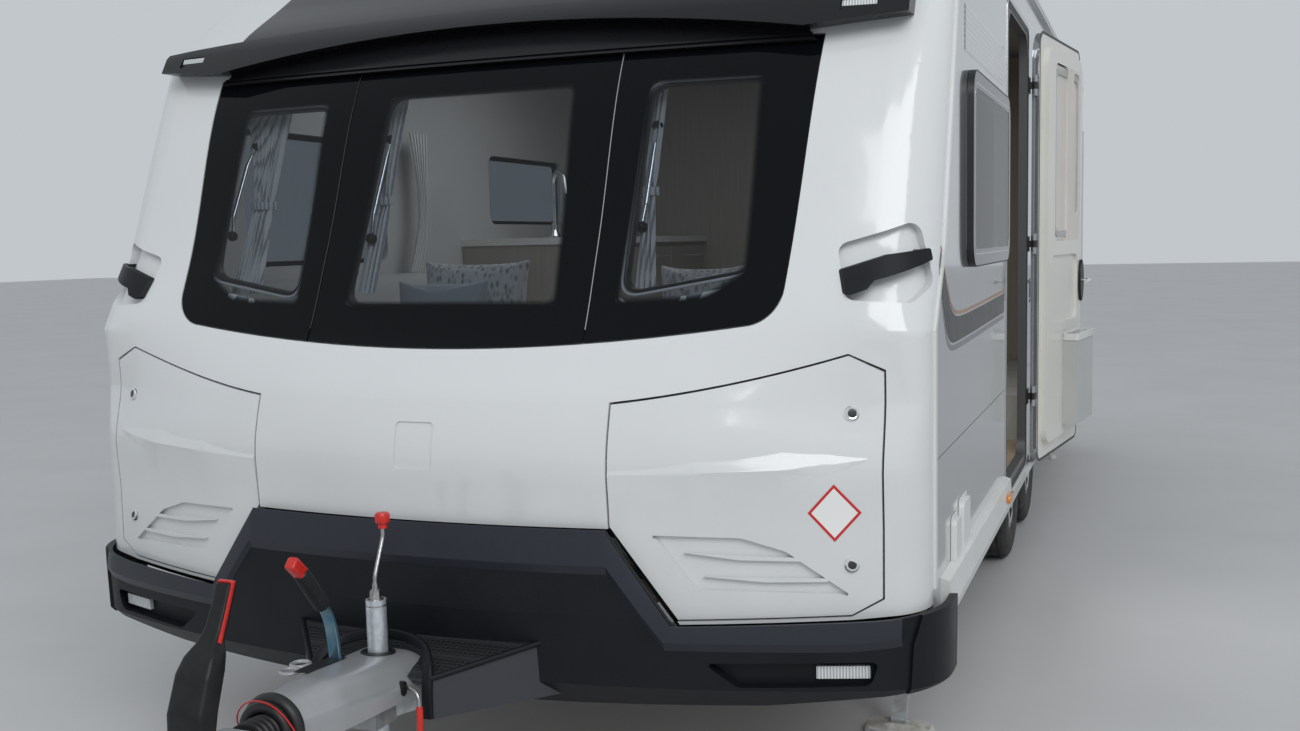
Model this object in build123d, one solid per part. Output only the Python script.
"""Twin-axle touring caravan, built up from its chassis, body panels, openings, fittings and furniture.

While the pieces are drawn, x runs to the caravan's left, y runs back from the front edge of the side
walls and z is the height above the road, in millimetres. At the end every piece moves so that the
origin is the centre of the tow ball.
"""
from build123d import *
from math import atan2, cos, degrees, hypot, sin, sqrt
import os

os.makedirs("parts", exist_ok=True)

# Where the tow ball is, from the front edge of the side walls and above the road
BALL_TO_CORNER = 1200.0
BALL_HEIGHT = 430.0
TO_BALL = Location((0, BALL_TO_CORNER, -BALL_HEIGHT))

# Body shell
HALF = 1215.0            # half width over the side walls
WALL = 32.0              # thickness of walls, roof and front moulding
REAR = 6330.0            # length of the side walls
FLOOR_TOP = 600.0        # height of the floor's upper face
FLOOR = 40.0             # thickness of the floor
WALL_TOP = 2400.0        # height of the side walls
CROWN = 100.0            # how far the roof rises in the middle
NOSE_BACK = 1000.0       # where the nose's lofts end, inside the cabin

# Gaps
DOOR_GAP = 5.0           # round a door or lid that moves
SEAL_GAP = 3.0           # round a pane or a fixed panel

pieces = {}


def keep(name, *solids):
    """Files the solids of one piece under its name."""
    pieces.setdefault(name, []).extend(solids)


def block(x, y, z):
    """A box from three pairs of lowest and highest places."""
    size = [b - a for a, b in (x, y, z)]
    middle = [(a + b) / 2 for a, b in (x, y, z)]
    return Pos(*middle) * Box(*size)


def outline(*corners):
    """A flat face from corners (a, b, radius), each rounded by its own radius."""
    face = make_face(Polyline(*[(a, b) for a, b, _ in corners], close=True))
    for a, b, radius in corners:
        if radius:
            nearest = face.vertices().sort_by_distance(Vector(a, b))[0]
            face = fillet(nearest, radius)
    return face


def through_side(face, x):
    """A face drawn in (y, z), extruded across the caravan between two x places."""
    return extrude(Plane.YZ.offset(x[0]) * face, amount=x[1] - x[0])


def through_front(face, y):
    """A face drawn in (x, z), extruded along the caravan between two y places."""
    return extrude(Plane.XZ.offset(-y[1]) * face, amount=y[1] - y[0])


def both_sides(solid):
    """A solid and its mirror image on the caravan's other side."""
    return [solid, mirror(solid, about=Plane.YZ)]


def plan(height, middle, radius, edge, half, inset, back):
    """A level section through a bowed end: a wide front arc, two corner arcs and straight sides.

    The corner arcs touch the front arc and the sides, where they end at y = edge. The inset moves the
    whole outline inwards by one distance.
    """
    to_edge = radius + middle - edge
    corner = (radius**2 - half**2 - to_edge**2) / (2 * (radius - half))
    angle = atan2(-to_edge, half - corner)
    front = radius - inset
    small = corner - inset
    touch_x = front * cos(angle)
    touch_y = middle + radius + front * sin(angle)
    bend_x = half - corner + small * cos(angle / 2)
    bend_y = edge + small * sin(angle / 2)
    side = half - inset
    lines = [
        ThreePointArc((-touch_x, touch_y), (0, middle + inset), (touch_x, touch_y)),
        ThreePointArc((touch_x, touch_y), (bend_x, bend_y), (side, edge)),
        Polyline((side, edge), (side, back), (-side, back), (-side, edge)),
        ThreePointArc((-side, edge), (-bend_x, bend_y), (-touch_x, touch_y)),
    ]
    return Pos(0, 0, height) * make_face(Curve() + lines)


# The nose: height, place of its middle, radius of its front arc, place where the corner ends
NOSE = [
    (560, -312, 3250, 0),
    (805, -310, 3250, 0),
    (933, -318, 3250, 0),
    (1092, -284, 3250, 0),
    (1253, -166, 9000, 0),
    (1455, -74, 9000, 144),
    (2057, 200, 9000, 352),
    (2250, 470, 9000, 600),
    (WALL_TOP, 700, 9000, 840),
]
# The tail, drawn the same way round and turned later: heights, bulge, radius, corner
TAIL = [
    (560, -185, 6000, 0),
    (1300, -200, 6000, 0),
    (2150, -185, 6000, 0),
    (2330, -60, 6000, 110),
    (WALL_TOP, 60, 6000, 240),
]


forms = {}


def nose(inset):
    """The nose as one solid, with its skin moved in by the inset."""
    if ("nose", inset) not in forms:
        sections = [plan(z, middle, radius, edge, HALF, inset, NOSE_BACK) for z, middle, radius, edge in NOSE]
        forms["nose", inset] = loft(sections, ruled=True)
    return forms["nose", inset]


def tail(inset):
    """The tail as one solid, turned to face the rear."""
    if ("tail", inset) not in forms:
        sections = [plan(z, middle, radius, edge, HALF, inset, NOSE_BACK) for z, middle, radius, edge in TAIL]
        forms["tail", inset] = Pos(0, REAR, 0) * mirror(loft(sections, ruled=True), about=Plane.XZ)
    return forms["tail", inset]


def layer(form, outer, inner, tool):
    """What a tool solid takes out of a form's skin, between two insets."""
    return (tool & form(outer)) - form(inner)


def hollow(solid, form, depth, tool):
    """A solid with a hollow of that depth pressed into a form's skin where the tool is."""
    return solid - (tool - form(depth))


def skin_y(x, z):
    """Where the nose's skin is, at a place across and a height, ahead of its corners."""
    row = max(k for k in range(len(NOSE) - 1) if NOSE[k][0] <= z)
    share = (z - NOSE[row][0]) / (NOSE[row + 1][0] - NOSE[row][0])
    middle, radius = (NOSE[row][k] + (NOSE[row + 1][k] - NOSE[row][k]) * share for k in (1, 2))
    return middle + radius - sqrt(radius**2 - x**2)


def corner_prism(corners, reach):
    """A prism that faces a front corner squarely, from an outline in (along the corner, height)."""
    facing = Plane(origin=(0, 0, 0), x_dir=(1, 1, 0), z_dir=(1, -1, 0))
    return extrude(facing * outline(*corners), amount=reach)


# Side walls: sandwich panels with the door, window and wheel openings
DOOR_Y = (1570.0, 2310.0)
DOOR_Z = (FLOOR_TOP, 2250.0)
ARCH_Y = (2610.0, 4190.0)
ARCH_TOP = 760.0
WALL_SEAM = (939.0, 941.0)    # where the lower panel of a wall ends and the upper one starts
# Side windows: side (1 near, -1 off), front, rear, bottom and top of the opening
SIDE_WINDOWS = [
    (1, 590, 1460, 1415, 1885),
    (1, 4700, 5500, 1415, 1885),
    (-1, 590, 1460, 1415, 1885),
    (-1, 2330, 3130, 1570, 1885),
    (-1, 4300, 5100, 1415, 1885),
]
wall_edge = [(0, NOSE[0][0])] + [(edge, z) for z, _, _, edge in NOSE[4:]]
tail_edge = [(REAR - edge, z) for z, _, _, edge in reversed(TAIL)]
wall_face = make_face(Polyline(*wall_edge, *tail_edge, close=True))
arch_face = outline(
    (ARCH_Y[0], NOSE[0][0] - 100, 0),
    (ARCH_Y[0] + 40, ARCH_TOP, 130),
    (ARCH_Y[1] - 40, ARCH_TOP, 130),
    (ARCH_Y[1], NOSE[0][0] - 100, 0),
)
for side, name in ((1, "side_wall_near"), (-1, "side_wall_off")):
    span = sorted((side * (HALF - WALL), side * HALF))
    wall = through_side(wall_face - arch_face, span)
    for window_side, front, rear, bottom, top in SIDE_WINDOWS:
        if window_side == side:
            hole = outline((front, bottom, 50), (front, top, 50), (rear, top, 50), (rear, bottom, 50))
            wall -= through_side(hole, span)
    if side == 1:
        wall -= block(span, DOOR_Y, (DOOR_Z[0] - FLOOR, DOOR_Z[1]))
    for heights in ((0, WALL_SEAM[0]), (WALL_SEAM[1], WALL_TOP)):
        keep(name, wall & block(span, (0, REAR), heights))

# Side window panes: double acrylic panes that overlap the openings on the outside
PANE = 18.0
PANE_LAP = 28.0
for side, front, rear, bottom, top in SIDE_WINDOWS:
    a, b, c, d = front - PANE_LAP, rear + PANE_LAP, bottom - PANE_LAP, top + PANE_LAP
    pane = through_side(outline((a, c, 70), (a, d, 70), (b, d, 70), (b, c, 70)), (HALF, HALF + PANE))
    keep("side_windows", pane if side == 1 else mirror(pane, about=Plane.YZ))

# Front moulding: one shell with the window apertures, the locker openings and the roof light band
MOULD_LAP = 12.0         # depth of the rebate that the panes lie in
MULLION = 400.0          # half the distance between the two joints of the front panes
pane_face = fillet(
    make_face(
        Curve()
        + [
            ThreePointArc((-875, 1283), (0, 1217), (875, 1283)),
            Polyline((875, 1283), (918, 1975), (-918, 1975), (-875, 1283)),
        ]
    ).vertices().sort_by(Axis.Y)[:2],
    90,
)
APERTURES = [
    outline((-345, 1300, 50), (-320, 1905, 50), (320, 1905, 50), (345, 1300, 50)),
    outline((455, 1310, 50), (462, 1900, 50), (850, 1900, 50), (820, 1372, 50)),
    outline((-455, 1310, 50), (-820, 1372, 50), (-850, 1900, 50), (-462, 1900, 50)),
]
BAND_HALF = 930.0        # half width of the roof light band
BAND_FOOT = 2085.0       # height where the band starts, under the visor
BAND_TOP = 3000.0        # beyond the nose's top
band_face = outline(
    (-BAND_HALF, BAND_FOOT, 0), (-BAND_HALF, BAND_TOP, 0), (BAND_HALF, BAND_TOP, 0), (BAND_HALF, BAND_FOOT, 0))

# Locker door outline on the near side, seen from the front
LOCKER_IN = 503.0
LOCKER_OUT = 1117.0
LOCKER_HINGE = (LOCKER_IN - DOOR_GAP / 2 - 2, -298.0)


def locker_face(grow):
    """The near locker door's outline, grown by a distance."""
    a, b = LOCKER_IN - grow, LOCKER_OUT + grow
    top = [(a, 1092 + grow), (780, 1136 + grow), (1039, 1201 + grow)]
    lines = [
        ThreePointArc(*top),
        Polyline(top[-1], (b, 1163 + grow), (b, 640 - grow / 2), (1050, 602 - grow), (660 - grow, 587 - grow),
                 (a, 805 - grow), top[0]),
    ]
    return make_face(Curve() + lines)


front_zone = through_side(
    make_face(Polyline((-900, NOSE[0][0]), *wall_edge, (-900, WALL_TOP), close=True)),
    (-HALF - 1, HALF + 1),
)
FRONT_SPAN = (-800, NOSE_BACK)
LOCKER_SPAN = (-800, 100)
moulding = layer(nose, 0, WALL, front_zone)
moulding = hollow(moulding, nose, MOULD_LAP, through_front(offset(pane_face, amount=SEAL_GAP), FRONT_SPAN))
for aperture in APERTURES:
    moulding -= through_front(aperture, FRONT_SPAN)
moulding -= through_front(band_face, FRONT_SPAN)
for hole in both_sides(through_front(locker_face(DOOR_GAP), LOCKER_SPAN)):
    moulding -= hole

# Below the lockers the moulding stops where the valance begins
VALANCE_TOP = 800.0
VALANCE_SIDE = HALF + 75    # beyond the corners, so that the valance runs round them
valance_low = [(664, 575), (1050, 590), (VALANCE_SIDE, 610)]
valance_top = [(LOCKER_IN - 2, VALANCE_TOP), *valance_low]
valance_line = [(-x, z) for x, z in reversed(valance_top)] + valance_top
below = make_face(Polyline(*valance_line, (VALANCE_SIDE, 400), (-VALANCE_SIDE, 400), close=True))
moulding -= through_front(below, FRONT_SPAN)

# The blank recess in the middle of the moulding
RECESS = 4.0
recess_face = outline((-53, 928, 12), (-53, 1044, 12), (53, 1044, 12), (53, 928, 12))
moulding = hollow(moulding, nose, RECESS, through_front(recess_face, (-800, 0)))

# Hollows behind the grab handles, pressed into the corners: place along the corner, height, radius
CORNER_REACH = HALF + 85
HANDLE_HOLLOW = 24.0
HANDLE_RECESS = [(676, 1328, 15), (690, 1455, 35), (872, 1512, 30), (884, 1362, 30), (800, 1318, 30)]
for pressed in both_sides(corner_prism(HANDLE_RECESS, CORNER_REACH)):
    moulding = hollow(moulding, nose, HANDLE_HOLLOW, pressed)
keep("front_moulding", moulding)

# Front panes, three acrylic sheets side by side in the rebate
PANE_IN = 1.0            # how far the panes lie below the moulding's skin
pane_layer = layer(nose, PANE_IN, MOULD_LAP, through_front(pane_face, FRONT_SPAN))
PANE_JOINT = 2.0
joint_ends = [-HALF, -MULLION - PANE_JOINT, PANE_JOINT - MULLION, MULLION - PANE_JOINT, MULLION + PANE_JOINT, HALF]
for left, right in zip(joint_ends[::2], joint_ends[1::2]):
    keep("front_windows", pane_layer & block((left, right), FRONT_SPAN, (1000, 2100)))

# Roof light band: a dark gloss pane above the visor
band_pane = offset(band_face, amount=-SEAL_GAP)
keep("roof_light_band", layer(nose, 0, WALL, through_front(band_pane, FRONT_SPAN) & front_zone))

# Visor: an arched lip over the front panes, a recessed panel under it and a winglet at each end
VISOR_OUT = 75.0
VISOR_PANEL = 14.0       # thickness of the recessed panel
VISOR_END = (1130.0, 2012.0, 2070.0)
visor_arch = [(-880, 1990), (0, 2062), (880, 1990)]
visor_face = make_face(
    Curve()
    + [
        ThreePointArc(*visor_arch),
        Polyline(visor_arch[2], (VISOR_END[0], VISOR_END[1]), (VISOR_END[0], VISOR_END[2])),
        ThreePointArc((VISOR_END[0], VISOR_END[2]), (0, 2112), (-VISOR_END[0], VISOR_END[2])),
        Polyline((-VISOR_END[0], VISOR_END[2]), (-VISOR_END[0], VISOR_END[1]), visor_arch[0]),
    ]
)
PANEL_FOOT = (905.0, 1958.0)
panel_face = make_face(
    Curve()
    + [ThreePointArc(*visor_arch), Polyline(visor_arch[2], PANEL_FOOT, (-PANEL_FOOT[0], PANEL_FOOT[1]), visor_arch[0])]
)
visor = layer(nose, -VISOR_OUT, 0, through_front(visor_face, (-800, 400)))
visor += layer(nose, -VISOR_PANEL, 0, through_front(panel_face, FRONT_SPAN))
# Two beads along the foot of the panel: lowest and highest place of each
BEAD_OUT = 6.0
BEAD_X = (12 - PANEL_FOOT[0], PANEL_FOOT[0] - 12)
for bead_z in ((1960, 1966), (1972, 1978)):
    visor += layer(nose, -VISOR_PANEL - BEAD_OUT, 1 - VISOR_PANEL, block(BEAD_X, FRONT_SPAN, bead_z))
MARKER_POCKET = 6.0
marker_box = block((965, 1055), (-800, 500), (2022, 2052))
for pocket in both_sides(marker_box):
    visor = hollow(visor, nose, MARKER_POCKET - VISOR_OUT, pocket)
keep("front_visor", visor)

# Valance: the dark bumper moulding, a shell a little proud of the nose
VALANCE_WALL = 12.0
# Height, place of the middle, radius, place where the corner ends, half width
VALANCE = [
    (340, -255, 3250, 70, 1190),
    (430, -345, 3250, 45, 1248),
    (600, -352, 3250, 45, 1250),
    (820, -338, 3250, 45, 1244),
]
VALANCE_SPAN = (-800, 100)


def valance_form(inset):
    """The valance's outer form, or its hollow."""
    if ("valance", inset) not in forms:
        sections = [plan(z, middle, radius, edge, half, inset, 300) for z, middle, radius, edge, half in VALANCE]
        forms["valance", inset] = loft(sections, ruled=True)
    return forms["valance", inset]


valance_foot = [(VALANCE_SIDE, 430), (860, 378), (0, 348), (-860, 378), (-VALANCE_SIDE, 430)]
valance_prism = through_front(make_face(Polyline(*valance_line, *valance_foot, close=True)), VALANCE_SPAN)
valance = layer(valance_form, 0, VALANCE_WALL, valance_prism)
# Lamp pods: cups that slope in from the valance's face
POD_DEPTH = 30.0
POD = [(728, 494, 6), (1116, 500, 12), (1098, 442, 25), (805, 437, 25)]
pod_face = outline(*POD)
pod_cup = through_front(offset(pod_face, amount=8), (-800, 0))
pod_bore = through_front(pod_face, (-800, 0))
for cup, bore in zip(both_sides(pod_cup), both_sides(pod_bore)):
    valance += layer(valance_form, VALANCE_WALL - 2, POD_DEPTH + 8, cup)
    valance = hollow(valance, valance_form, POD_DEPTH, bore)
# Corner caps stand proud of the valance's ends
CAP_OUT = 8.0
CAP = [(800, 640, 0), (760, 536, 0), (752, 380, 0), (960, 380, 0), (960, 640, 0)]
cap_prism = corner_prism(CAP, 1400) & valance_prism
for cap_zone in both_sides(cap_prism):
    valance += layer(valance_form, -CAP_OUT, 1, cap_zone)
NOTCH = (190.0, 492.0)   # half width and top of the gap for the drawbar
valance -= block((-NOTCH[0], NOTCH[0]), VALANCE_SPAN, (300, NOTCH[1]))
keep("front_valance", valance)
LAMP_X = (975.0, 1092.0)
LAMP_Z = (455.0, 485.0)
LAMP_OUT = 12.0
lamp = layer(valance_form, POD_DEPTH - LAMP_OUT, POD_DEPTH, block(LAMP_X, (-800, 0), LAMP_Z))
keep("front_lamps", *both_sides(lamp))
marker = layer(nose, -VISOR_OUT, MARKER_POCKET - VISOR_OUT, block((968, 1052), (-800, 500), (2025, 2049)))
keep("front_lamps", *both_sides(marker))

# Locker doors: moulded lids on upright hinges at their inner edges
LID = 25.0
near_lid = layer(nose, 0, LID, through_front(locker_face(0), LOCKER_SPAN))
# Ledge along the kink, a long three-sided rib: place across, foot, top of its upper face, how far it stands out
LEDGE = [(503.5, 930, 942, 3), (700, 937, 965, 8), (900, 945, 986, 12), (1000, 955, 980, 8), (1086, 966, 970, 1)]
LEDGE_FALL = 110.0       # height of the face that leads back to the lid below the ledge
sections = []
for x, low, high, out in LEDGE:
    foot = low - LEDGE_FALL
    deep = LID / 3
    ring = Polyline(
        (skin_y(x, high) + 0.5, high), (skin_y(x, low) - out, low), (skin_y(x, foot) + 0.5, foot),
        (skin_y(x, foot) + deep, foot), (skin_y(x, high) + deep, high), close=True)
    sections.append(Plane.YZ.offset(x) * make_face(ring))
near_lid += loft(sections, ruled=True)
# Gill hollow below the ledge, with two thin fins left standing in it
GILL = 13.0
gill_face = outline(
    (545, 788, 4), (806, 783, 60), (905, 752, 30), (1060, 640, 4), (1020, 652, 20), (700, 660, 20), (612, 778, 10))
FINS = [
    outline((676, 747, 0), (952, 736, 0), (945, 728, 0), (800, 731, 0)),
    outline((720, 691, 0), (1005, 688, 0), (997, 680, 0), (860, 679, 0)),
]
for fin in FINS:
    gill_face -= fin
near_lid = hollow(near_lid, nose, GILL, through_front(gill_face, (-800, 0)))
LOCK = 16.0
for x, z in ((1048, 1069), (1051, 720)):
    near_lid += layer(nose, -3, 6, Pos(x, -400, z) * Rot(90, 0, 0) * Cylinder(LOCK, 800))
keep("locker_door_near", near_lid)
keep("locker_door_off", mirror(near_lid, about=Plane.YZ))

# Front bulkhead: the white partition behind the lockers, with the shelf under the windows
SHELF = 1185.0
BULKHEAD_Y = 60.0
half_in = HALF - WALL
BULKHEAD = 20.0
SHELF_DEPTH = 185.0
bulkhead = block((-half_in, half_in), (BULKHEAD_Y, BULKHEAD_Y + BULKHEAD), (FLOOR_TOP, SHELF))
bulkhead += nose(WALL) & block((-half_in, half_in), (-250, BULKHEAD_Y + SHELF_DEPTH), (SHELF, SHELF + 18))
keep("front_bulkhead", bulkhead)

# Grab handles: flat bars that follow the corners over their hollows, with a foot at each end
HANDLE_OUT = 14.0
HANDLE_IN = 2.0
HANDLE = [(672, 1337, 6), (678, 1398, 8), (770, 1430, 0), (882, 1443, 5), (882, 1416, 5), (730, 1372, 0), (712, 1352, 0)]
# Feet: two places along the corner, two heights
HANDLE_FEET = [(677, 702, 1345, 1395), (856, 878, 1418, 1440)]
grip = layer(nose, -HANDLE_OUT, -HANDLE_IN, corner_prism(HANDLE, CORNER_REACH))
for a, b, low, high in HANDLE_FEET:
    foot = corner_prism([(a, low, 0), (a, high, 0), (b, high, 0), (b, low, 0)], CORNER_REACH)
    grip += layer(nose, -HANDLE_IN - 1, HANDLE_HOLLOW, foot & corner_prism(HANDLE_RECESS, CORNER_REACH))
keep("grab_handles", *both_sides(grip))

# Corner trims along the front and rear edges of the side walls
TRIM = 24.0
TRIM_OUT = 6.0


def edge_strip(points, width, x):
    """A strip that follows an edge drawn in (y, z), with one side on the edge."""
    line = Polyline(*points)
    band = make_face(Polyline(*points, *[(y + width, z) for y, z in reversed(points)], close=True))
    return through_side(band, x)


front_trim = edge_strip([(0, 640), *wall_edge[1:-1]], TRIM, (HALF, HALF + TRIM_OUT))
rear_trim = edge_strip([(REAR - TRIM, 640), (REAR - TRIM, 2150)], TRIM, (HALF, HALF + TRIM_OUT))
keep("corner_trims", *both_sides(front_trim), *both_sides(rear_trim))

# Roof: a crowned shell on the walls, trimmed by the nose and the tail
ROOF_EDGE = 14.0
ROOF = [(650, 0.02), (1250, 1.0), (5850, 1.0), (6300, 0.05)]


def roof_solid(half, drop):
    """The roof as one solid between its crown and the top of the walls."""
    sections = []
    for y, share in ROOF:
        rise = ROOF_EDGE + (CROWN - ROOF_EDGE) * share - drop * max(share, 0.1)
        edge = max(ROOF_EDGE - drop, 1)
        face = make_face(
            Curve()
            + [
                ThreePointArc((-half, WALL_TOP + edge), (0, WALL_TOP + max(rise, edge + 1)), (half, WALL_TOP + edge)),
                Polyline((half, WALL_TOP + edge), (half, WALL_TOP), (-half, WALL_TOP), (-half, WALL_TOP + edge)),
            ]
        )
        sections.append(Plane.XZ.offset(-y) * face)
    return loft(sections, ruled=True)


roof_plan = extrude(plan(WALL_TOP, 700, 9000, 840, HALF, 0, 3000), amount=CROWN + 50)
roof_tail = Pos(0, REAR, 0) * mirror(extrude(plan(WALL_TOP, 60, 6000, 240, HALF, 0, 3700), amount=CROWN + 50), about=Plane.XZ)
roof = roof_solid(HALF, 0) & (roof_plan + roof_tail)
roof -= roof_solid(HALF - WALL, WALL) & block((-HALF, HALF), (760, 6150), (WALL_TOP, WALL_TOP + CROWN))
# Roof lights: place along the caravan, length, width
ROOF_LIGHTS = [(1700, 700, 900), (3300, 400, 400), (5100, 400, 400)]
for y, length, width in ROOF_LIGHTS:
    roof -= block((-width / 2, width / 2), (y - length / 2, y + length / 2), (WALL_TOP, WALL_TOP + CROWN + 20))
    lid_y = (y - length / 2 - 40, y + length / 2 + 40)
    lid_x = (-width / 2 - 40, width / 2 + 40)
    curb = block(lid_x, lid_y, (WALL_TOP + CROWN - 25, WALL_TOP + CROWN + 15)) - roof_solid(HALF, 0)
    curb -= block((-width / 2, width / 2), (y - length / 2, y + length / 2), (WALL_TOP, WALL_TOP + CROWN + 20))
    cap = block(lid_x, lid_y, (WALL_TOP + CROWN + 15, WALL_TOP + CROWN + 75))
    cap = chamfer(cap.faces().sort_by(Axis.Z)[-1].edges(), 35)
    keep("roof_lights", curb + cap)
keep("roof", roof)

# Rear moulding: a bowed shell with hollows for the lamps and the number plate
rear_zone = through_side(
    make_face(Polyline(*[(REAR - edge, z) for z, _, _, edge in TAIL], (REAR + 600, WALL_TOP), (REAR + 600, 560), close=True)),
    (-HALF - 1, HALF + 1),
)
rear = layer(tail, 0, WALL, rear_zone)
PLATE = (540.0, 130.0)
PLATE_Z = 880.0
PLATE_DEPTH = 12.0
REAR_SPAN = (REAR - 100, REAR + 600)
plate_x = PLATE[0] / 2 + 40
plate_z = (PLATE_Z - PLATE[1] / 2 - 45, PLATE_Z + PLATE[1] / 2 + 45)
rear = hollow(rear, tail, PLATE_DEPTH, block((-plate_x, plate_x), REAR_SPAN, plate_z))
CLUSTER_DEPTH = 14.0
CLUSTER_OUT = 16.0
LAMP_CLUSTER = outline((930, 760, 20), (960, 1230, 40), (1080, 1230, 40), (1100, 760, 20))
for cluster in both_sides(through_front(LAMP_CLUSTER, REAR_SPAN)):
    rear = hollow(rear, tail, CLUSTER_DEPTH, cluster)
keep("rear_moulding", rear)
lamp_prism = through_front(offset(LAMP_CLUSTER, amount=-2), REAR_SPAN)
brake_lamp = layer(tail, -10, 0, block((-160, 160), REAR_SPAN, (2060, 2090)))
keep("rear_lamps", *both_sides(layer(tail, -CLUSTER_OUT, CLUSTER_DEPTH, lamp_prism)), brake_lamp)
bumper_face = outline((-HALF - 30, 430, 30), (-HALF - 30, 650, 10), (HALF + 30, 650, 10), (HALF + 30, 430, 30))
# The bumper, drawn like the valance: height, bulge, radius, corner, half width
BUMPER = [(400, -190, 6000, 20, 1235), (560, -235, 6000, 10, 1245), (680, -225, 6000, 10, 1241)]


def bumper_form(inset):
    """The rear bumper's outer form, or its hollow, facing the rear."""
    solid = loft([plan(z, mid, rad, edge, half, inset, 300) for z, mid, rad, edge, half in BUMPER], ruled=True)
    return Pos(0, REAR, 0) * mirror(solid, about=Plane.XZ)


bumper = layer(bumper_form, 0, VALANCE_WALL, through_front(bumper_face, REAR_SPAN))
keep("rear_bumper", bumper - tail(0))
# Handles on the rear corners: places of the two feet across, height, how far out
REAR_FEET = (860.0, 1060.0)
REAR_GRIP_Z = 1290.0
REAR_GRIP = (26.0, 36.0)
rear_grip_path = FilletPolyline(
    (REAR_FEET[0], REAR + 130, REAR_GRIP_Z), (REAR_FEET[0], REAR + 200, REAR_GRIP_Z),
    (REAR_FEET[1], REAR + 170, REAR_GRIP_Z), (REAR_FEET[1], REAR + 90, REAR_GRIP_Z), radius=30,
)
rear_grip = sweep(Plane(rear_grip_path @ 0, z_dir=rear_grip_path % 0) * Rectangle(*REAR_GRIP), path=rear_grip_path)
keep("grab_handles", *both_sides(rear_grip - tail(0)))

# Awning rails over the joint of walls and roof
RAIL_Z = (WALL_TOP - 14, WALL_TOP + 12)
RAIL = 16.0
rail = block((HALF, HALF + RAIL), (900, 6030), RAIL_Z)
rail -= Pos(HALF + RAIL, 3465, WALL_TOP - 2) * Rot(90, 0, 0) * Cylinder(5, 5200)
keep("corner_trims", *both_sides(rail))

# Skirts: extruded side rails below the walls, cut for the wheels and stepped down at the door
SKIRT_TOP = 640.0
SKIRT_FOOT = 515.0
SKIRT_OUT = 27.0
skirt_section = make_face(
    Polyline(
        (HALF, SKIRT_TOP), (HALF + SKIRT_OUT - 4, SKIRT_TOP - 8), (HALF + SKIRT_OUT, 560), (HALF + 14, SKIRT_FOOT),
        (HALF, SKIRT_FOOT), close=True,
    )
)
near_skirt = through_front(skirt_section, (110, REAR - 105))
arch_cut = through_side(arch_face, (HALF - 1, HALF + 100))
near_skirt -= arch_cut
off_skirt = mirror(near_skirt, about=Plane.YZ)
near_skirt -= block((HALF - 1, HALF + 60), (DOOR_Y[0] - 45, ARCH_Y[0] + 60), (DOOR_Z[0] - 62, 700))
keep("skirts", near_skirt, off_skirt)

# Floor with notches for the wheels, and the boxes of four boards that close them over the wheels
wheel_x = (840.0, HALF - WALL)
BOX_WALL = 10.0
BOX_TOP = 790.0
floor = block((-half_in, half_in), (30, REAR), (FLOOR_TOP - FLOOR, FLOOR_TOP))
for notch in both_sides(block(wheel_x, ARCH_Y, (FLOOR_TOP - FLOOR, FLOOR_TOP))):
    floor -= notch
floor &= nose(WALL) + block((-half_in, half_in), (900, REAR), (500, 700))
keep("floor", floor)
BOX_JOINT = 0.5          # glue line between the boards
board_z = (FLOOR_TOP - FLOOR, BOX_TOP - BOX_WALL - BOX_JOINT)
keep("wheel_boxes", *both_sides(block(wheel_x, ARCH_Y, (BOX_TOP - BOX_WALL, BOX_TOP))))
keep("wheel_boxes", *both_sides(block((wheel_x[0], wheel_x[0] + BOX_WALL), ARCH_Y, board_z)))
for ends in ((ARCH_Y[0], ARCH_Y[0] + BOX_WALL), (ARCH_Y[1] - BOX_WALL, ARCH_Y[1])):
    end_x = (wheel_x[0] + BOX_WALL + BOX_JOINT, wheel_x[1])
    keep("wheel_boxes", *both_sides(block(end_x, ends, board_z)))

# Door frame: a dark extrusion lining the opening, with three hinge knuckles
FRAME = 22.0
FRAME_OUT = 10.0
frame_outer = outline((DOOR_Y[0], DOOR_Z[0] - FLOOR, 0), (DOOR_Y[0], DOOR_Z[1], 0), (DOOR_Y[1], DOOR_Z[1], 0),
                      (DOOR_Y[1], DOOR_Z[0] - FLOOR, 0))
frame_inner = outline((DOOR_Y[0] + FRAME, DOOR_Z[0], 60), (DOOR_Y[0] + FRAME, DOOR_Z[1] - FRAME, 90),
                      (DOOR_Y[1] - FRAME, DOOR_Z[1] - FRAME, 90), (DOOR_Y[1] - FRAME, DOOR_Z[0], 60))
door_frame = through_side(frame_outer - frame_inner, (HALF - WALL, HALF))
HINGE = (HALF + 22.0, 2352.0)
HINGE_Z = (2050.0, 1430.0, 820.0)
PIN = 5.0
for z in HINGE_Z:
    leaf = block((HALF, HALF + 5), (DOOR_Y[1] + 4, DOOR_Y[1] + 70), (z - 30, z + 30))
    knuckle = Pos(HINGE[0], HINGE[1], z) * Cylinder(10, 26)
    knuckle += block((HALF, HINGE[0]), (HINGE[1] - 6, HINGE[1] + 6), (z - 13, z + 13))
    pin = Pos(HINGE[0], HINGE[1], z) * Cylinder(PIN, 80)
    keep("door_frame", leaf + knuckle + pin)
keep("door_frame", door_frame)

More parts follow.
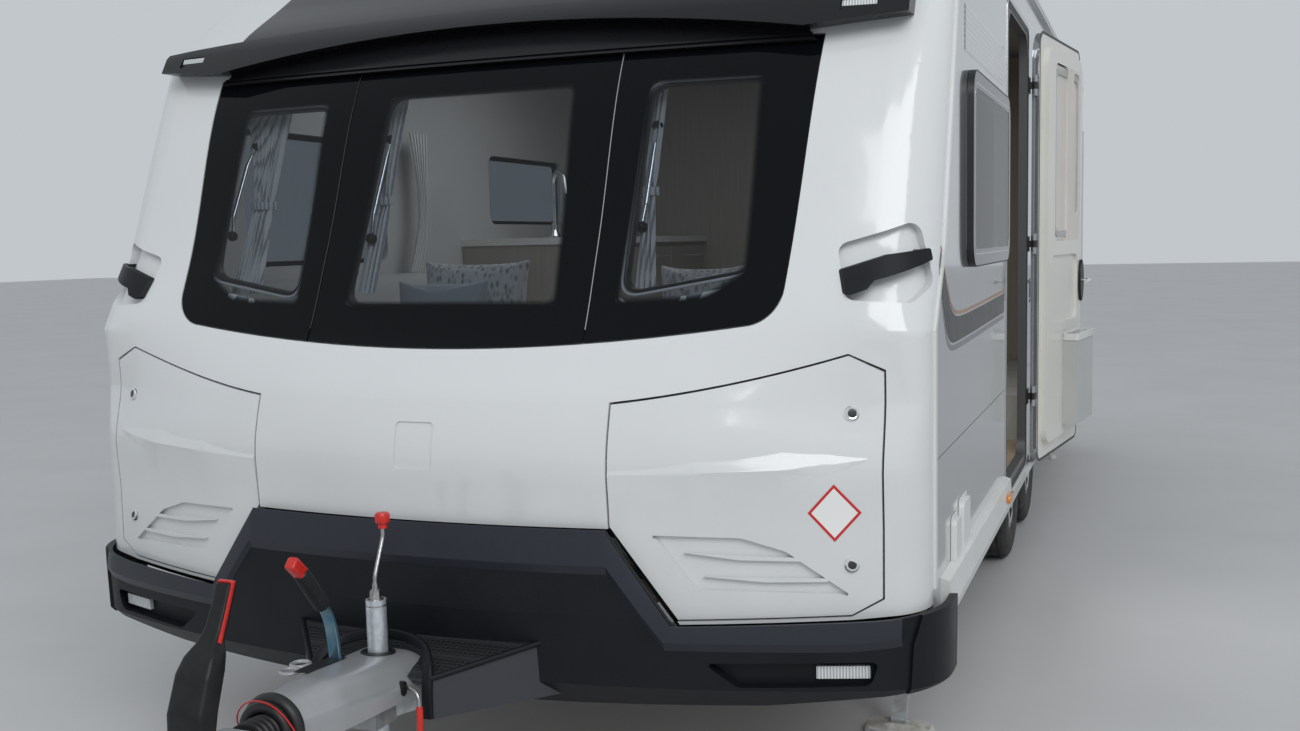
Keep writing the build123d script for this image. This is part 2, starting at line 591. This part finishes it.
# Entrance door, drawn closed and then swung back on its hinges as it stands
DOOR_OPEN = 172.0
LEAF_Y = (1552.0, 2330.0)
LEAF_Z = (545.0, 2268.0)
LEAF = 30.0
leaf_x = (HALF + 8, HALF + 8 + LEAF)
leaf_face = outline((LEAF_Y[0], LEAF_Z[0], 70), (LEAF_Y[0], LEAF_Z[1], 110), (LEAF_Y[1], LEAF_Z[1], 110),
                    (LEAF_Y[1], LEAF_Z[0], 70))
swing = Pos(*HINGE, 0) * Rot(0, 0, DOOR_OPEN) * Pos(-HINGE[0], -HINGE[1], 0)
door = through_side(leaf_face, leaf_x)
# Liner: the moulded inner skin, stepped in so that it enters the opening when the door shuts
LINER = 24.0
LINER_Y = (1604.0, 2276.0)
LINER_Z = (614.0, 2216.0)
liner_x = (leaf_x[0] - LINER, leaf_x[0])
door += through_side(
    outline((LINER_Y[0], LINER_Z[0], 60), (LINER_Y[0], LINER_Z[1], 85), (LINER_Y[1], LINER_Z[1], 85),
            (LINER_Y[1], LINER_Z[0], 60)), liner_x)
WINDOW_Y = (1690.0, 2110.0)
WINDOW_Z = (1480.0, 2120.0)
window_face = outline(
    (WINDOW_Y[0], WINDOW_Z[0], 45), (WINDOW_Y[0], WINDOW_Z[1], 45), (WINDOW_Y[1], WINDOW_Z[1], 45),
    (WINDOW_Y[1], WINDOW_Z[0], 45))
door -= through_side(window_face, (liner_x[0], leaf_x[1]))
# Hollows pressed into the liner: front, rear, bottom, top, depth
LINER_HOLLOWS = [(1650, 2150, 1440, 2160, 10), (1690, 2190, 1100, 1380, 12)]
for front, rear_end, bottom, top, depth in LINER_HOLLOWS:
    pressed = outline((front, bottom, 40), (front, top, 40), (rear_end, top, 40), (rear_end, bottom, 40))
    door -= through_side(pressed, (liner_x[0], liner_x[0] + depth))
for z in HINGE_Z:
    for end in (-1, 1):
        eye = Pos(HINGE[0], HINGE[1], z + end * 27) * (Cylinder(10, 26) - Cylinder(PIN + 0.1, 26))
        arm = block((HINGE[0] - 6, HINGE[0] + 6), (LEAF_Y[1] - 10, HINGE[1] - 7), (z + end * 27 - 13, z + end * 27 + 13))
        door += eye + arm
keep("entrance_door", swing * door)
glass = through_side(offset(window_face, amount=-2), (leaf_x[1] - 10, leaf_x[1]))
keep("door_window", swing * glass)
# Bin on the liner, open at the top
BIN_DEPTH = 62.0
BIN_WALL = 6.0
bin_y = (1640.0, 1980.0)
bin_z = (660.0, 1040.0)
bin_x = (liner_x[0] - BIN_DEPTH, liner_x[0])
bin_box = block(bin_x, bin_y, bin_z)
bin_box -= block((bin_x[0] + BIN_WALL, bin_x[1] + 1), (bin_y[0] + BIN_WALL, bin_y[1] - BIN_WALL), (bin_z[0] + BIN_WALL, bin_z[1] + 1))
keep("door_bin", swing * bin_box)
# Inner handle: an oval plate on the liner with a lever on a neck
HANDLE_PLATE = 8.0
LEVER_Y = 1632.0
LEVER_Z = 1262.0
escutcheon = through_side(
    outline((1614, 1175, 17), (1614, 1345, 17), (1650, 1345, 17), (1650, 1175, 17)), (liner_x[0] - HANDLE_PLATE, liner_x[0]))
lever = Pos(liner_x[0] - HANDLE_PLATE - 18, LEVER_Y, LEVER_Z) * Rot(0, 90, 0) * Cylinder(9, 38)
lever += block((liner_x[0] - 50, liner_x[0] - 36), (LEVER_Y - 12, LEVER_Y + 110), (LEVER_Z - 10, LEVER_Z + 10))
keep("door_handle", swing * (escutcheon + lever))

# Service hatches: side, front, rear, bottom, top, thickness; the two small ones are flap boxes ahead of the door
HATCHES = [
    (1, 250, 400, 640, 860, 45),
    (1, 445, 600, 640, 860, 45),
    (1, 4500, 4800, 720, 1020, 9),
    (-1, 1650, 2050, 700, 1000, 9),
    (-1, 5250, 5600, 700, 1080, 9),
]
for side, front, rear_end, bottom, top, thick in HATCHES:
    hatch = through_side(
        outline((front, bottom, 18), (front, top, 18), (rear_end, top, 18), (rear_end, bottom, 18)), (HALF, HALF + thick))
    if thick > 20:
        hatch = chamfer(hatch.faces().sort_by(Axis.X)[-1].edges(), 10)
    keep("service_hatches", hatch if side == 1 else mirror(hatch, about=Plane.YZ))

# Wheels: place of the two axles, tyre and rim sizes
AXLES = (3000.0, 3800.0)
TYRE = 315.0
TYRE_X = (912.0, 1100.0)
RIM = 178.0
STUB = 28.0
STUB_PLAY = 0.06
x0, x1 = TYRE_X
tyre_face = make_face(Polyline(
    (x0 + 12, RIM), (x0, RIM + 50), (x0 + 6, TYRE - 28), (x0 + 26, TYRE - 4), (x0 + 50, TYRE), (x1 - 50, TYRE),
    (x1 - 26, TYRE - 4), (x1 - 6, TYRE - 28), (x1, RIM + 50), (x1 - 12, RIM), close=True))
tyre = revolve(tyre_face, axis=Axis.X)
rim_face = make_face(Polyline(
    (x0 + 12, RIM), (x0 + 12, RIM - 14), (x0 + 40, RIM - 22), (x1 - 40, RIM - 22), (x1 - 12, RIM - 14), (x1 - 12, RIM), close=True))
dish_face = make_face(Polyline(
    (x1 - 60, 30), (x1 - 30, 30), (x1 - 22, 70), (x1 - 14, RIM - 18), (x1 - 36, RIM - 18), (x1 - 52, 80), (x1 - 60, 80), close=True))
dish = revolve(dish_face, axis=Axis.X)
SPOKES = 7
hole = make_face(Polyline((-34, 152), (34, 152), (12, 78), (-12, 78), close=True))
hole = fillet(hole.vertices(), 8)
for k in range(SPOKES):
    dish -= Rot(360 / SPOKES * k, 0, 0) * through_side(hole, (x0, x1 + 10))
hub = Pos((x1 - 60 + 850) / 2, 0, 0) * Rot(0, 90, 0) * Cylinder(60, x1 - 60 - 850)
drum = Pos(880, 0, 0) * Rot(0, 90, 0) * Cylinder(128, 60)
cap = Pos(x1 - 42, 0, 0) * Rot(0, 90, 0) * Cylinder(31, 40)
bore = Pos(850 + 75, 0, 0) * Rot(0, 90, 0) * Cylinder(STUB + STUB_PLAY, 150)
rim = revolve(rim_face, axis=Axis.X) + dish + hub + drum + cap - bore
for y, place in zip(AXLES, ("front", "rear")):
    spot = Pos(0, y, TYRE)
    for side in ("near", "off"):
        for name, solid in (("tyre", tyre), ("rim", rim)):
            made = spot * solid
            keep(f"{name}_{side}_{place}", made if side == "near" else mirror(made, about=Plane.YZ))

# Axles: six-sided tubes with trailing arms, back plates and stubs
AXLE_TUBE = 55.0
ARM = 130.0
for y, place in zip(AXLES, ("front", "rear")):
    beam = Pos(0, y - ARM, TYRE + 95) * Rot(0, 90, 0) * extrude(RegularPolygon(AXLE_TUBE, 6), amount=740, both=True)
    keep("axles", beam)
    arm_face = make_hull((Pos(y - ARM, TYRE + 95) * Circle(45)).edges() + (Pos(y, TYRE) * Circle(38)).edges())
    arm = through_side(arm_face, (745, 790))
    plate = Pos(810, y, TYRE) * Rot(0, 90, 0) * Cylinder(120, 12)
    stub = Pos((790 + 990) / 2, y, TYRE) * Rot(0, 90, 0) * Cylinder(STUB, 200)
    keep("axles", *both_sides(arm + plate + stub))

# Chassis: two pressed side members, cross members, drawbar members, and brackets under the side members
BEAM_X = 560.0
BEAM_T = 6.0
FLANGE = 50.0
BEAM_Z = (390.0, FLOOR_TOP - FLOOR)
BEAM_Y = (700.0, 5900.0)
BEAM_HOLE = 38.0         # radius of the holes in the webs, every 400 mm
web = block((BEAM_X, BEAM_X + BEAM_T), BEAM_Y, BEAM_Z)
for k in range(12):
    web -= Pos(BEAM_X, 1000 + 400 * k, sum(BEAM_Z) / 2) * Rot(0, 90, 0) * Cylinder(BEAM_HOLE, 60)
beam = web + block((BEAM_X, BEAM_X + FLANGE), BEAM_Y, (BEAM_Z[0], BEAM_Z[0] + BEAM_T))
beam += block((BEAM_X, BEAM_X + FLANGE), BEAM_Y, (BEAM_Z[1] - BEAM_T, BEAM_Z[1]))
axle_tubes = [
    Pos(0, y - ARM, TYRE + 95) * Rot(0, 90, 0) * extrude(RegularPolygon(AXLE_TUBE, 6), amount=740, both=True) for y in AXLES]
for tube in axle_tubes:
    beam -= tube
keep("chassis_beams", *both_sides(beam))

# Drawbar members run from the side members to the tip plate
APEX = (60.0, -556.0)    # outer edge of a member where it meets the tip plate
LEG_Z = (392.0, 462.0)
run = hypot(BEAM_X - APEX[0], BEAM_Y[0] - APEX[1])
turn = degrees(atan2(BEAM_X - APEX[0], BEAM_Y[0] - APEX[1]))
leg = block((0, BEAM_T), (0, run), LEG_Z)
for z in (LEG_Z[0], LEG_Z[1] - BEAM_T):
    leg += block((BEAM_T - FLANGE, BEAM_T), (0, run), (z, z + BEAM_T))
leg = Pos(*APEX, 0) * Rot(0, 0, -turn) * leg
leg &= block((0, 2 * BEAM_X), (APEX[1], BEAM_Y[0]), LEG_Z)
keep("chassis_members", *both_sides(leg))
CROSS = 60.0             # cross members: width along the caravan and depth
for y in (760, 2350, 4450, 5840):
    keep("chassis_members", block((-BEAM_X, BEAM_X), (y, y + CROSS), (BEAM_Z[1] - CROSS, BEAM_Z[1])))
BRACKET_T = 12.0
for y, tube in zip(AXLES, axle_tubes):
    bracket = block((BEAM_X - BRACKET_T, BEAM_X), (y - ARM - 70, y - ARM + 70), (TYRE + 20, BEAM_Z[0] + 40))
    keep("chassis_brackets", *both_sides(bracket - tube))

# Corner steadies: legs on brackets under the floor, wound down onto the road
# name, place across, place along, which way the leg leans
STEADIES = [
    ("near_front", 1000, 720, 1),
    ("off_front", -1000, 720, 1),
    ("near_rear", 1000, 5760, -1),
    ("off_rear", -1000, 5760, -1),
]
LEG = 560.0
STEADY_Z = 520.0
LEG_PIN = 9.0
PIN_PLAY = 0.1
for name, x, foot_y, lean in STEADIES:
    drop = STEADY_Z - 22
    reach = sqrt(LEG**2 - drop**2)
    pivot_y = foot_y + lean * reach
    leg_face = make_hull(
        (Pos(pivot_y, STEADY_Z) * Circle(24)).edges() + (Pos(foot_y, 40) * Circle(16)).edges())
    leg = through_side(leg_face, (x - 22, x + 22)) - through_side(offset(leg_face, amount=-5), (x - 17, x + 17))
    leg -= Pos(x, pivot_y, STEADY_Z) * Rot(0, 90, 0) * Cylinder(LEG_PIN + PIN_PLAY, 60)
    foot = Pos(x, foot_y, 9) * (Box(150, 120, 18)) + block((x - 14, x + 14), (foot_y - 22, foot_y + 22), (0, 30))
    keep(f"steady_{name}", leg + foot)
    cheeks = block((x - 34, x - 28), (pivot_y - 40, pivot_y + 40), (STEADY_Z - 25, BEAM_Z[1]))
    cheeks += block((x + 28, x + 34), (pivot_y - 40, pivot_y + 40), (STEADY_Z - 25, BEAM_Z[1]))
    cheeks += block((x - 34, x + 34), (pivot_y - 40, pivot_y + 40), (BEAM_Z[1] - 6, BEAM_Z[1]))
    cheeks += Pos(x, pivot_y, STEADY_Z) * Rot(0, 90, 0) * Cylinder(LEG_PIN, 68)
    to_beam = sorted((x, (BEAM_X + FLANGE) * (1 if x > 0 else -1)))
    cheeks += block(to_beam, (pivot_y - 20, pivot_y + 20), (BEAM_Z[1] - 6, BEAM_Z[1]))
    keep("chassis_brackets", cheeks)

# Drawbar: tip plate, shaft, coupling head with its ball socket, and bellows
SHAFT = 25.0
SHAFT_Z = 480.0
SHAFT_Y = (-1020.0, APEX[1] - 4)
BALL = 25.0
SOCKET_PLAY = 0.3
HEAD_BACK = -1000.0
ball_y = -BALL_TO_CORNER
shaft = Pos(0, sum(SHAFT_Y) / 2, SHAFT_Z) * Rot(90, 0, 0) * Cylinder(SHAFT, SHAFT_Y[1] - SHAFT_Y[0])
tip = block((-APEX[0] - 20, APEX[0] + 20), (APEX[1] - 84, APEX[1]), (LEG_Z[0], SHAFT_Z))
head = Pos(0, ball_y, BALL_HEIGHT + 12) * Cylinder(52, 76)
head += block((-38, 38), (ball_y, HEAD_BACK), (BALL_HEIGHT, BALL_HEIGHT + 90))
head = fillet(head.edges().filter_by(Axis.Z), 12) + Pos(0, ball_y, BALL_HEIGHT + 50) * Cylinder(44, 30)
socket = Pos(0, ball_y, BALL_HEIGHT - 13) * Cylinder(BALL + SOCKET_PLAY, 26.5)
socket += Pos(0, ball_y, BALL_HEIGHT) * Sphere(BALL + SOCKET_PLAY)
keep("coupling_head", head - socket + shaft + tip)
# Bellows: cones from crest to root, place of the first, distance from crest to crest
BELLOWS = (-985.0, 24.0)
BELLOWS_R = (33.0, 44.0)
folds = []
for k in range(5):
    start = BELLOWS[0] + BELLOWS[1] * k
    folds += [(start, BELLOWS_R[0]), (start + BELLOWS[1] / 2, BELLOWS_R[1])]
last = folds[-1][0] + BELLOWS[1] / 2
bellows_face = make_face(Polyline(
    *[(r, y) for y, r in folds], (BELLOWS_R[0], last), (SHAFT + 0.5, last), (SHAFT + 0.5, BELLOWS[0]), close=True))
keep("bellows", Pos(0, 0, SHAFT_Z) * revolve(bellows_face, axis=Axis.Y))
handle_path = FilletPolyline((0, -1134, 560), (0, -1111, 663), (0, -1045, 734), (0, -1008, 829), radius=40)
stabiliser = sweep(Plane(handle_path @ 0, z_dir=handle_path % 0) * Rectangle(40, 18), path=handle_path)
stabiliser += block((-20, 20), (-1190, -1110), (BALL_HEIGHT + 64, 580))
keep("stabiliser_lever", stabiliser - head)

# Hitch cover: a crowned shell that widens towards the caravan: place, half width, edge and crown heights
COVER = [(-890, 55, 500, 548), (-760, 84, 496, 545), (-450, 124, 468, 518)]
COVER_WALL = 5.0
COVER_FOOT = 440.0


def cover_form(inset):
    """The hitch cover's outer form, or its hollow."""
    sections = []
    for y, half, edge, crown in COVER:
        half, edge, crown = half - inset, edge - inset, crown - inset
        arch = ThreePointArc((-half, edge), (0, crown), (half, edge))
        sides = Polyline((half, edge), (half, COVER_FOOT - 100), (-half, COVER_FOOT - 100), (-half, edge))
        sections.append(Plane.XZ.offset(-y) * make_face(Curve() + [arch, sides]))
    return loft(sections, ruled=True)


JOCKEY_Y = -500.0
JOCKEY_TUBE = 24.0
JOCKEY_WALL = 3.0
INNER = 20.0
JOCKEY_R = 105.0
cover = (cover_form(0) - cover_form(COVER_WALL)) & block((-300, 300), (-890, -450), (COVER_FOOT, 600))
cover -= Pos(0, JOCKEY_Y, 550) * Cylinder(JOCKEY_TUBE + 8, 200)
LEVER_X = -50.0
cover -= block((LEVER_X - 20, LEVER_X + 20), (-700, -575), (COVER_FOOT, 620))
cover -= tip
# Sockets for two plugs, rings on the cover's off side: place along
PLUG_X = (-100.0, -86.0)
PLUG_Z = 540.0
cover += block(PLUG_X, (-715, -575), (COVER_FOOT + 20, 530)) - cover_form(COVER_WALL)
for y in (-690, -600):
    cover += Pos(sum(PLUG_X) / 2, y, PLUG_Z) * Rot(0, 90, 0) * Cylinder(22, PLUG_X[1] - PLUG_X[0])
    cover -= Pos(sum(PLUG_X) / 2, y, PLUG_Z) * Rot(0, 90, 0) * Cylinder(13, 40)
keep("hitch_cover", cover)

# Handbrake lever beside the jockey tube
brake_path = FilletPolyline((LEVER_X, -592, 470), (LEVER_X, -607, 624), (LEVER_X, -645, 680), radius=60)
brake = sweep(Plane(brake_path @ 0, z_dir=brake_path % 0) * Rectangle(12, 30), path=brake_path)
for start, end, radius in (((-638, 670), (-711, 764), 16), ((-711, 764), (-744, 795), 10)):
    grip_line = Line((LEVER_X, *start), (LEVER_X, *end))
    brake += sweep(Plane(grip_line @ 0, z_dir=grip_line % 0) * Circle(radius), path=grip_line)
keep("handbrake_lever", brake - tip - shaft)

# Jockey wheel: clamped tube, sliding inner tube, swivelling fork with the roller, crank on top
TUBE_Z = (400.0, 640.0)
outer_tube = Pos(0, JOCKEY_Y, sum(TUBE_Z) / 2) * (
    Cylinder(JOCKEY_TUBE, TUBE_Z[1] - TUBE_Z[0]) - Cylinder(JOCKEY_TUBE - JOCKEY_WALL, TUBE_Z[1] - TUBE_Z[0]))
clamp = block((-34, 34), (APEX[1], JOCKEY_Y + 34), (LEG_Z[1] + 2, 500)) - Pos(0, JOCKEY_Y, 490) * Cylinder(JOCKEY_TUBE, 120)
outer_tube += clamp + Pos(0, JOCKEY_Y, TUBE_Z[1] + 6) * Cylinder(JOCKEY_TUBE, 12)
keep("jockey_tube", outer_tube)
inner_tube = Pos(0, JOCKEY_Y, (240 + 480) / 2) * (Cylinder(INNER, 240) - Cylinder(INNER - 3, 240))
inner_tube += Pos(0, JOCKEY_Y, 246) * Cylinder(INNER, 12)
keep("jockey_inner", inner_tube)
FORK_PIN = 8.0
fork = Pos(0, JOCKEY_Y, 229) * Cylinder(24, 22)
fork += block((-44, 44), (JOCKEY_Y - 18, JOCKEY_Y + 30), (218, 230))
fork_face = outline(
    (JOCKEY_Y - 18, 228, 0), (JOCKEY_Y + 30, 228, 0), (JOCKEY_Y + 62, JOCKEY_R - 12, 10), (JOCKEY_Y + 32, JOCKEY_R - 12, 10))
for x in (-44, 38):
    fork += through_side(fork_face, (x, x + 6))
AXLE_Y = JOCKEY_Y + 46
fork += Pos(0, AXLE_Y, JOCKEY_R) * Rot(0, 90, 0) * Cylinder(FORK_PIN, 88)
keep("jockey_fork", fork)
roller_bore = FORK_PIN + 0.1
jockey_face = make_face(Polyline(
    (-30, 60), (-33, 84), (-24, JOCKEY_R), (24, JOCKEY_R), (33, 84), (30, 60), (30, roller_bore), (-30, roller_bore),
    close=True))
keep("jockey_wheel", Pos(0, AXLE_Y, JOCKEY_R) * revolve(jockey_face, axis=Axis.X))
crank_path = FilletPolyline(
    (0, JOCKEY_Y, 660), (0, JOCKEY_Y, 700), (0, JOCKEY_Y + 18, 740), (0, JOCKEY_Y + 42, 770), (0, JOCKEY_Y + 42, 815),
    radius=12)
crank = sweep(Plane(crank_path @ 0, z_dir=crank_path % 0) * Circle(5), path=crank_path)
crank += Pos(0, JOCKEY_Y, 666) * Cylinder(15, 28) + Pos(0, JOCKEY_Y + 42, 832) * Cylinder(16, 34)
keep("jockey_crank", crank)

# Step fairing: a dark box over the drawbar that widens back to the valance, open below
FAIRING_PLAN = [(-158, -540, 0), (158, -540, 0), (400, -250, 0), (-400, -250, 0)]
FAIRING_SIDE = [(-540, 391, 0), (-540, 491, 0), (-250, 540, 0), (-250, 391, 0)]
FAIRING_WALL = 6.0


def fairing_form(inset):
    """The fairing's outer form, or its hollow with the foot left open."""
    plan_face = offset(outline(*FAIRING_PLAN), amount=-inset) if inset else outline(*FAIRING_PLAN)
    side_face = Pos(0, -inset) * outline(*FAIRING_SIDE)
    return extrude(plan_face, amount=1000) & through_side(side_face, (-600, 600))


fairing = fairing_form(0) - fairing_form(FAIRING_WALL) - valance_form(0)
fairing -= cover_form(-SEAL_GAP) & block((-300, 300), (-900, COVER[-1][0] + SEAL_GAP), (300, 700))
fairing -= block((-300, 300), (-541, -533), (300, 480))
for member in both_sides(leg):
    fairing -= member
keep("step_fairing", fairing)

# Furniture that shows through the panes
SEAT_TOP = FLOOR_TOP + 350
for side, rear_y in ((1, 1480.0), (-1, 2050.0)):
    x = (480.0, half_in) if side == 1 else (-half_in, -480.0)
    keep("furniture", block(x, (BULKHEAD_Y + 20, rear_y), (FLOOR_TOP, SEAT_TOP)))
    keep("seat_cushions", block((x[0] + 2, x[1] - 2), (BULKHEAD_Y + 180, rear_y - 5), (SEAT_TOP, SEAT_TOP + 140)))
    back_x = (half_in - 150, half_in - 4) if side == 1 else (-half_in + 4, -half_in + 150)
    keep("seat_cushions", block(back_x, (BULKHEAD_Y + 200, rear_y - 10), (SEAT_TOP + 140.5, SEAT_TOP + 420)))
CHEST_HALF = 474.0
CHEST_TOP = SHELF - 20
keep("furniture", block((-CHEST_HALF, CHEST_HALF), (BULKHEAD_Y + 20, BULKHEAD_Y + 420), (FLOOR_TOP, CHEST_TOP)))
# Scatter cushions that stand on the chest: x from and to, y from and to, top
for left, right, front, rear_end, top in ((-414, -40, 400, 485, 1431), (-440, -123, 290, 380, 1374), (366, 640, 390, 475, 1407)):
    keep("seat_cushions", block((left, right), (front, rear_end), (CHEST_TOP + 0.5, top)))

# Tied-back curtains that hang behind the front panes: x of both edges at the top, at the tie and at the bottom
CURTAIN_IN = (48.0, 66.0)    # front and back of the cloth, behind the moulding's inner face
CURTAIN_Z = (1895.0, 1600.0, 1350.0)
CURTAINS = [
    (-874, -687, -761, -693, -778, -667),
    (-354, -279, -333, -280, -336, -281),
    (453, 503, 473, 500, 475, 533),
]
for a, b, c, d, e, f in CURTAINS:
    top, tie, foot = CURTAIN_Z
    hourglass = make_face(Polyline((a, top), (b, top), (d, tie), (f, foot), (e, foot), (c, tie), close=True))
    ahead, behind = (Pos(0, gap, 0) * nose(WALL) for gap in CURTAIN_IN)
    keep("curtains", (through_front(hourglass, FRONT_SPAN) & ahead) - behind)
side_curtain = make_face(Polyline((1530, 1930), (1675, 1930), (1650, 1600), (1590, 1375), (1470, 1375), (1505, 1600), close=True))
keep("curtains", through_side(side_curtain, (-1120, -1100)))

WORKTOP = FLOOR_TOP + 900
unit_front = -half_in + 560
unit_y = (2060.0, 3700.0)
UNIT_JOINT = 1.0         # gap between the carcasses of the kitchen unit
rear_unit_y = (ARCH_Y[0] + UNIT_JOINT, unit_y[1])
keep("furniture",
     block((-half_in, unit_front), (unit_y[0], ARCH_Y[0]), (FLOOR_TOP, WORKTOP - 30)),
     block((-half_in, unit_front), rear_unit_y, (BOX_TOP, WORKTOP - 30)),
     block((-wheel_x[0], unit_front), rear_unit_y, (FLOOR_TOP, BOX_TOP - UNIT_JOINT)))
worktop = block((-half_in, unit_front + 30), (unit_y[0] - 5, unit_y[1]), (WORKTOP - 30, WORKTOP))
keep("kitchen_worktop", worktop)
keep("furniture", block((-half_in, -150), (3705, 3735), (BOX_TOP, WALL_TOP)), block((450, half_in), (4200, 4230), (FLOOR_TOP, WALL_TOP)))

for name, solids in pieces.items():
    bodies = [body for solid in solids for body in solid.solids()]
    whole = bodies[0] if len(bodies) == 1 else Compound(children=bodies)
    whole.label = name
    export_step(whole.moved(TO_BALL), f"parts/{name}.step")
    print(name, len(bodies), "solid(s)")
